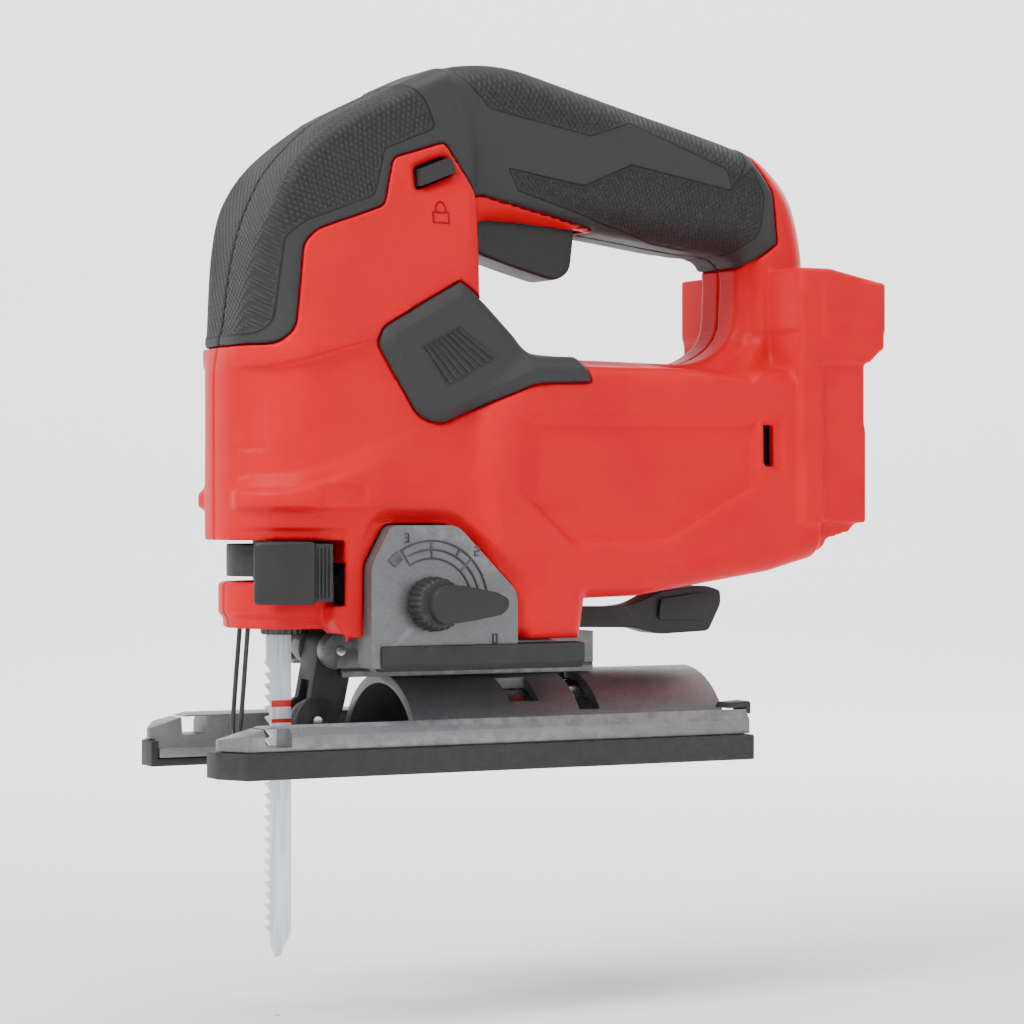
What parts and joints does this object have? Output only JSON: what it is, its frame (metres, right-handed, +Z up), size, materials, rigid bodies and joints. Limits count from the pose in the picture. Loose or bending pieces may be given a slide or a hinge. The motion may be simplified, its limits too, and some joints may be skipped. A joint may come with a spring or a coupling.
{
  "type": "jigsaw power tool",
  "caption": "Cordless D-handle jigsaw without battery: red housing, rubber grip, orbital selector, tool-free blade lever, tilting shoe and reciprocating blade.",
  "frame": {"origin": "the blade's axis where it crosses the sole plane", "axes": "+X the cutting direction (blade side), +Y the tool's left, +Z up along the blade"},
  "size_m": [0.221, 0.0805, 0.2631],
  "materials": {
    "red_housing": "moulded red plastic with a fine satin texture",
    "rubber_grip": "matte overmoulded rubber",
    "cast_metal": "bead-blasted grey casting",
    "black_plastic": "satin black plastic",
    "dark_steel": "blackened steel",
    "bright_steel": "ground steel",
    "blade_steel": "white lacquered blade steel",
    "bronze": "sintered bronze and copper windings",
    "circuit_board": "green circuit board",
    "clear_lens": "clear lens"
  },
  "bodies": {
    "tool_body": {"housing_left": "red_housing", "housing_right": "red_housing", "grip_left": "rubber_grip", "grip_right": "rubber_grip", "thumb_pad_left": "rubber_grip", "thumb_pad_right": "rubber_grip", "gear_housing": "cast_metal", "wire_guard": "dark_steel", "switch_module": "black_plastic", "control_board": "circuit_board", "terminal_block": "black_plastic", "stator": "bronze", "work_light": "clear_lens", "housing_screw_1": "dark_steel", "housing_screw_2": "dark_steel", "housing_screw_3": "dark_steel", "housing_screw_4": "dark_steel", "housing_screw_5": "dark_steel", "housing_screw_6": "dark_steel", "housing_screw_7": "dark_steel", "housing_screw_8": "dark_steel", "upper_bushing": "bronze", "lower_bushing": "bronze", "gear_bearing": "bright_steel", "pinion_bearing": "bright_steel", "front_motor_bearing": "bright_steel", "rear_motor_bearing": "bright_steel", "arm_pivot_pin": "bright_steel", "bevel_clamp_plate": "bright_steel"},
    "blade_carrier": {"plunger": "bright_steel", "blade_clamp": "dark_steel", "blade": "blade_steel"},
    "crank": {"crank_gear": "bright_steel", "crank_pin": "bright_steel", "gear_axle": "bright_steel"},
    "armature": {"rotor": "dark_steel", "rotor_shaft": "bright_steel", "pinion": "bright_steel", "cooling_fan": "black_plastic"},
    "shoe_assembly": {"shoe": "cast_metal", "shoe_cover": "black_plastic", "cover_clip_left": "black_plastic", "cover_clip_right": "black_plastic", "degree_plate": "bright_steel"},
    "bevel_clamp": {"bevel_lever": "black_plastic", "bevel_bolt": "dark_steel"},
    "roller_carrier": {"roller_arm": "dark_steel", "roller_pin": "bright_steel"},
    "roller": {"guide_roller": "bright_steel"},
    "orbit_selector": {"orbit_knob": "black_plastic", "orbit_shaft": "bright_steel"},
    "release": {"release_lever": "black_plastic"},
    "trigger_key": {"trigger": "black_plastic"},
    "lock_key": {"lock_button": "black_plastic"}
  },
  "joints": [
    {"name": "plunger_slide", "type": "slide", "parent": "tool_body", "child": "blade_carrier", "axis": [0, 0, 1], "range_m": [-0.0127, 0.0127]},
    {"name": "motor_spin", "type": "hinge", "parent": "tool_body", "child": "armature", "pos_m": [-0.12, 0, 0.084], "axis": [1, 0, 0], "continuous": true},
    {"name": "crank_spin", "type": "hinge", "parent": "tool_body", "child": "crank", "pos_m": [-0.033, 0, 0.113], "axis": [1, 0, 0], "continuous": true},
    {"name": "shoe_bevel", "type": "hinge", "parent": "tool_body", "child": "shoe_assembly", "pos_m": [-0.06, 0, 0], "axis": [1, 0, 0], "range_deg": [-45, 45]},
    {"name": "bevel_lever_turn", "type": "hinge", "parent": "tool_body", "child": "bevel_clamp", "pos_m": [-0.092, 0, 0.04], "axis": [0, 0, 1], "range_deg": [-65, 0]},
    {"name": "roller_arm_swing", "type": "hinge", "parent": "tool_body", "child": "roller_carrier", "pos_m": [-0.015, 0, 0.0343], "axis": [0, 1, 0], "range_deg": [0, 4]},
    {"name": "roller_spin", "type": "hinge", "parent": "roller_carrier", "child": "roller", "pos_m": [-0.0103, 0, 0.0136], "axis": [0, 1, 0], "continuous": true},
    {"name": "orbit_turn", "type": "hinge", "parent": "tool_body", "child": "orbit_selector", "pos_m": [-0.0336, 0.033, 0.0482], "axis": [0, 1, 0], "range_deg": [0, 105]},
    {"name": "release_turn", "type": "hinge", "parent": "tool_body", "child": "release", "pos_m": [-0.002, 0, 0.06], "axis": [0, 0, 1], "range_deg": [-70, 0], "stiffness_Nm_per_rad": 0.05, "springref_deg": 17.19},
    {"name": "trigger_press", "type": "slide", "parent": "tool_body", "child": "trigger_key", "axis": [0, 0, 1], "range_m": [0, 0.006], "stiffness_N_per_m": 400, "springref_m": -0.004},
    {"name": "lock_push", "type": "slide", "parent": "tool_body", "child": "lock_key", "axis": [0, 1, 0], "range_m": [-0.004, 0]}
  ],
  "couplings": [
    {"joint": "crank_spin", "follows": "motor_spin", "ratio": -0.20833}
  ]
}
